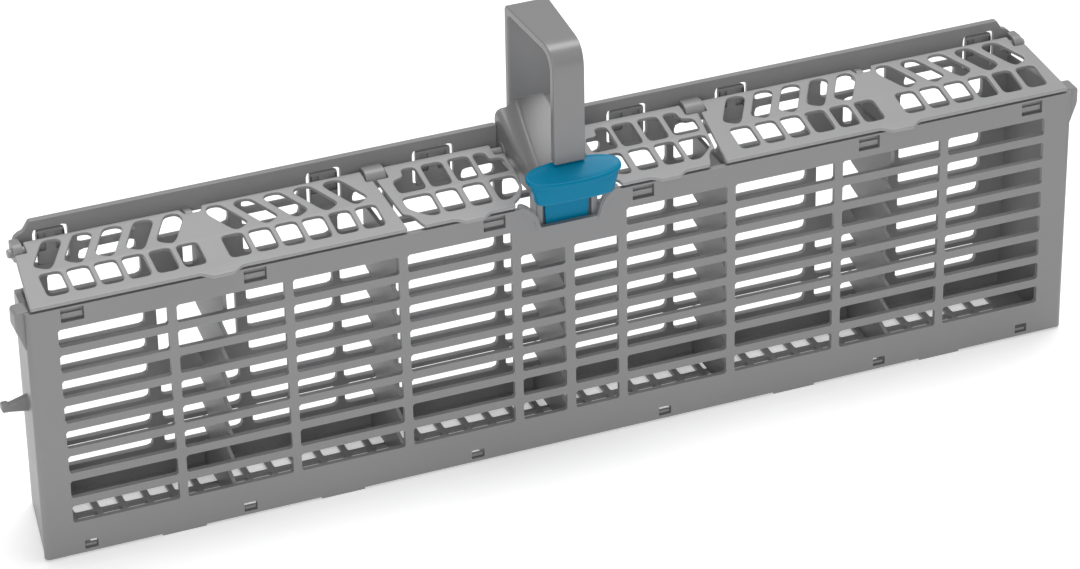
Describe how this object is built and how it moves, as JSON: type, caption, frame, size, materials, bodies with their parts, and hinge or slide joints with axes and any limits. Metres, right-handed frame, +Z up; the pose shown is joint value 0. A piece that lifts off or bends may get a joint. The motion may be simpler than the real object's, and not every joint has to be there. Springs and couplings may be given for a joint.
{
  "type": "cutlery basket",
  "caption": "Long slim slotted basket with hinged perforated lids over its compartments, a loop handle in the middle and a push latch at the front.",
  "frame": {"origin": "middle of the base, in the plane the feet stand on", "axes": "+X along the length to the viewer's right, +Y to the rear rail, +Z up; the slotted front faces -Y"},
  "size_m": [0.524, 0.0624, 0.2065],
  "materials": {
    "body_grey": "matt",
    "lid_grey": "matt",
    "latch_blue": "satin"
  },
  "bodies": {
    "basket": {"basket_shell": "body_grey", "front_panel": "body_grey", "divider_1": "body_grey", "divider_2": "body_grey", "divider_3": "body_grey", "divider_4": "body_grey", "divider_5": "body_grey", "handle": "body_grey"},
    "latch": {"latch": "latch_blue"},
    "left_outer_lid": {"lid_outer_left": "lid_grey"},
    "left_inner_lid": {"lid_inner_left": "lid_grey"},
    "right_inner_lid": {"lid_inner_right": "lid_grey"},
    "right_outer_lid": {"lid_outer_right": "lid_grey"}
  },
  "joints": [
    {"name": "left_outer_lid_hinge", "type": "hinge", "parent": "basket", "child": "left_outer_lid", "pos_m": [0, 0.02315, 0.1363], "axis": [-1, 0, 0], "range_deg": [0, 100]},
    {"name": "left_inner_lid_hinge", "type": "hinge", "parent": "basket", "child": "left_inner_lid", "pos_m": [0, 0.02315, 0.1363], "axis": [-1, 0, 0], "range_deg": [0, 100]},
    {"name": "right_inner_lid_hinge", "type": "hinge", "parent": "basket", "child": "right_inner_lid", "pos_m": [0, 0.02315, 0.1363], "axis": [-1, 0, 0], "range_deg": [0, 100]},
    {"name": "right_outer_lid_hinge", "type": "hinge", "parent": "basket", "child": "right_outer_lid", "pos_m": [0, 0.02315, 0.1363], "axis": [-1, 0, 0], "range_deg": [0, 100]},
    {"name": "latch_slide", "type": "slide", "parent": "basket", "child": "latch", "axis": [0, 0, -1], "range_m": [0, 0.004], "stiffness_N_per_m": 600, "springref_m": -0.001}
  ]
}
